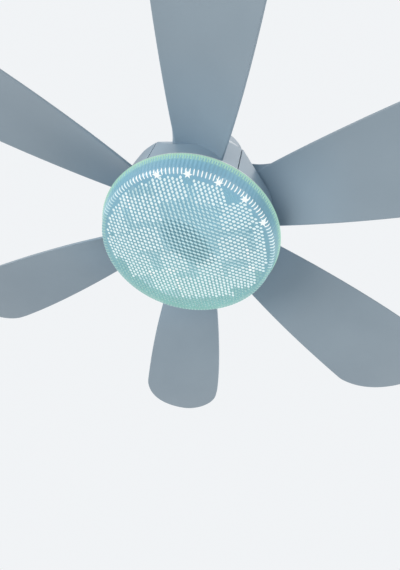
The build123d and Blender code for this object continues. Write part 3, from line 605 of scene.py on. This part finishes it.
lit_levels = {  # material, radius, stretch
    "bright": (lit_bright, 1.25, 1.15),
    "medium": (lit_medium, 1.1, 1.35),
    "soft": (lit_soft, 0.85, 1.95),
    "dim": (lit_dim, 0.75, 1.7),
}
lit_meshes = {level: ([], []) for level in lit_levels}
prism_points, prism_faces = [], []
shade_points, shade_faces = [], []
for spot, drawn in cell_places(prism_field_r):
    covered = patches_over(spot)
    shaded = shade_over(spot)
    # Painted shade: a dark stud at the cell's corner, larger deeper in the shade.
    if shaded > gap_start:
        gap = spot + (prism_a + prism_b) / 2 * drawn
        width = gap_least + gap_growth * min(1, shaded / gap_full)
        stud(shade_points, shade_faces, dot_loop(gap, width, z_sunk, gap_stretch),
             dot_loop(gap, gap_top * width, z_gap_top, gap_stretch))
    if shaded > patch_limit:
        covered = 0
    stud(prism_points, prism_faces, rhomb(spot, prism_foot * drawn, z_sunk),
         rhomb(spot, prism_top * drawn, z_prism_top))
    if covered:
        level = "bright" if covered > 1 else "medium"
    elif any((spot - middle).length < reach for middle, reach in soft_fields):
        level = "soft"
    elif spot.y > dim_start:
        level = "dim"
    else:
        continue
    _, radius, stretch = lit_levels[level]
    radius *= drawn * (1 + flicker * sin(flicker_wave.dot(spot)))
    stud(*lit_meshes[level], dot_loop(spot, radius, z_dot_foot, stretch),
         dot_loop(spot, dot_top * radius, z_face, stretch))
piece("lens_prisms", prism_points, prism_faces, lens_prism, "clear_diffuser")
piece("lens_shades", shade_points, shade_faces, lens_shade, "clear_diffuser")

# Lit dashes where the wall meets the face, brightest on one side, with stars among them
dash_proud = 0.16
dash_depth = 0.3
dash_bends = (0, 30, 60, 90)  # degrees round the corner
dash_w = 0.9
dash_end = 0.45  # of its width
dash_tail = 0.9  # how far a dash runs in over the face
dash_middle = radians(-77)  # the middle of the bright side
# Each level, and the least cosine of the angle from that middle at which a dash has it
dash_levels = (("bright", 0.66), ("medium", 0.42), ("soft", 0.12), ("dim", -1.1))
star_inset = 0.6
star_reach = 3.6
star_waist = 1.5
star_top = 0.7  # of the reach at its foot
star_bend = 0.9  # how far over the corner a point goes at most, in corner radii
star_points = 6
star_turns = (-109, -90, -71, -52, -32)  # degrees

dash_r = lens_corner_r + dash_proud
dash_path = [(corner_r - dash_tail, z_plate - dash_proud)]
for bend in dash_bends:
    dash_path.append((corner_r + dash_r * sin(radians(bend)), z_corner - dash_r * cos(radians(bend))))


def dash(points, faces, turn):
    """A narrow bar that bends round the corner between the face and the wall."""
    start = len(points)
    across = Vector((-sin(turn), cos(turn), 0))
    last = len(dash_path) - 1
    for place, (radius, z) in enumerate(dash_path):
        half = dash_w / 2 * (dash_end if place in (0, last) else 1)
        for depth in (0, dash_depth):
            middle = Vector(((radius - depth) * cos(turn), (radius - depth) * sin(turn), z + depth))
            points.append(tuple(middle - half * across))
            points.append(tuple(middle + half * across))
    for place in range(last):
        here = start + 4 * place
        for low, high in ((0, 1), (1, 3), (3, 2), (2, 0)):
            faces.append((here + low, here + high, here + 4 + high, here + 4 + low))
    end = start + 4 * last
    faces.append((start, start + 2, start + 3, start + 1))
    faces.append((end, end + 1, end + 3, end + 2))


def star_loop(spot, reach, waist, z):
    """A pointed loop that lies over the corner between the face and the wall."""
    corners = []
    for k in range(2 * star_points):
        turn = pi * k / star_points
        corner = spot + (waist if k % 2 else reach) * Vector((cos(turn), sin(turn)))
        past = min(max(corner.length - corner_r, 0), star_bend * lens_corner_r)
        corner *= min(1, (corner_r + past) / corner.length)
        corners.append((corner.x, corner.y, z + lens_corner_r - (lens_corner_r ** 2 - past ** 2) ** 0.5))
    return corners


for k in range(rib_count):
    turn = 2 * pi * k / rib_count
    facing = cos(turn - dash_middle)
    for level, least in dash_levels:
        if facing > least:
            dash(*lit_meshes[level], turn)
            break
for turn in star_turns:
    star = (corner_r - star_inset) * Vector((cos(radians(turn)), sin(radians(turn))))
    stud(*lit_meshes["bright"], star_loop(star, star_reach, star_waist, z_plate),
         star_loop(star, star_top * star_reach, star_waist, z_face))

for level, (points, faces) in lit_meshes.items():
    piece("lens_lit_" + level, points, faces, lit_levels[level][0], "led_phosphor")

# The glowing rim, with an even edge and fine hollows below it
z_glow = z_rim - 4.6
z_glow_middle = z_rim - 3.0
rim_ring = [
    (rim_r - 2.4, z_glow),
    (wall_r(z_glow) + 0.02, z_glow),
    (wall_r(z_glow_middle) + 0.2, z_glow_middle),
    (rim_r - 0.1, z_rim - 1.6),
    (rim_r, z_rim - 0.3),
    (rim_r - 1.8, z_rim - 0.15),
]
rim_hollows = (0, 0.75, 0.75, 0.4, 0, 0)  # how deep they are at each point of the ring's outline
rim_hollow_count = 240
rim_hollow_steps = 6


def hollow_shape(place, radius, z, turn):
    """Hollows below the rim's edge, down through the ribs of the wall."""
    return radius - rim_hollows[place] * (0.5 - 0.5 * cos(rim_hollow_count * turn)), z


piece("lens_rim_glow", *turned(rim_ring, rim_hollow_steps * rim_hollow_count, hollow_shape),
      lit_rim, "led_phosphor", smooth=40)
